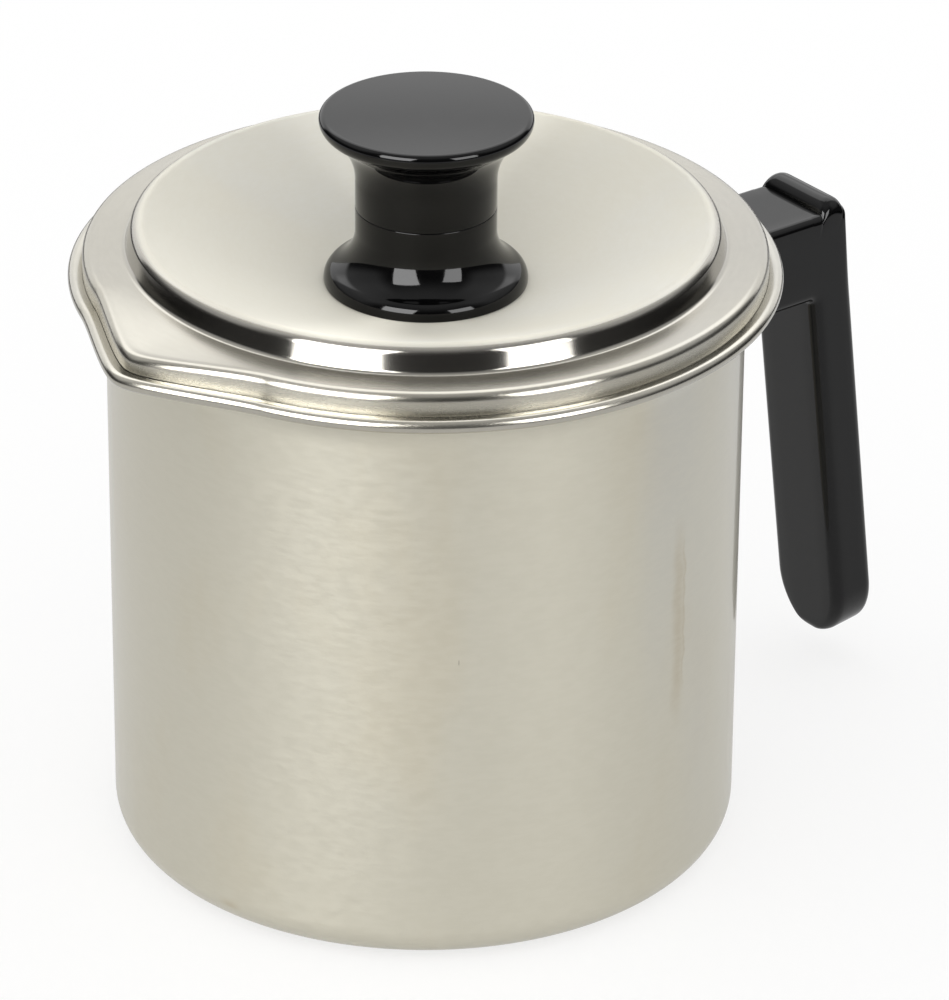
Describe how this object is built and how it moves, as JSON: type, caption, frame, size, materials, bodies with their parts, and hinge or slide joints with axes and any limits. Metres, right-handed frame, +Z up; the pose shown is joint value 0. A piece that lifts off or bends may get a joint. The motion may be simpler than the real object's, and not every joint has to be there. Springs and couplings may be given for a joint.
{
  "type": "covered grease pot",
  "caption": "Covered stainless pot with a flared, spouted rim, a black L-shaped side handle, a drop-in strainer and a dished lid with a black round knob.",
  "frame": {"origin": "middle of the pot's underside, on its axis", "axes": "+Z up along the pot's axis; +X towards the handle; the spout is near -X, 3.5 degrees off"},
  "size_m": [0.1925, 0.1416, 0.1562],
  "materials": {
    "stainless": "satin on the flats, polished on the crest and the bead",
    "black_moulding": "polished",
    "fastener_steel": "plated",
    "brass": "turned"
  },
  "bodies": {
    "pot": {"pot_body": "stainless", "handle_bracket": "stainless", "bracket_boss": "fastener_steel", "handle": "black_moulding", "handle_washer": "fastener_steel", "handle_screw": "fastener_steel"},
    "strainer": {"strainer": "stainless"},
    "lid": {"lid": "stainless", "knob_base": "black_moulding", "knob_top": "black_moulding", "knob_insert": "brass", "knob_washer": "fastener_steel", "knob_screw": "fastener_steel"}
  },
  "joints": [
    {"name": "strainer_lift", "type": "slide", "parent": "pot", "child": "strainer", "axis": [0, 0, 1], "range_m": [0, 0.06]},
    {"name": "lid_lift", "type": "slide", "parent": "strainer", "child": "lid", "axis": [0, 0, 1], "range_m": [0, 0.08]}
  ]
}
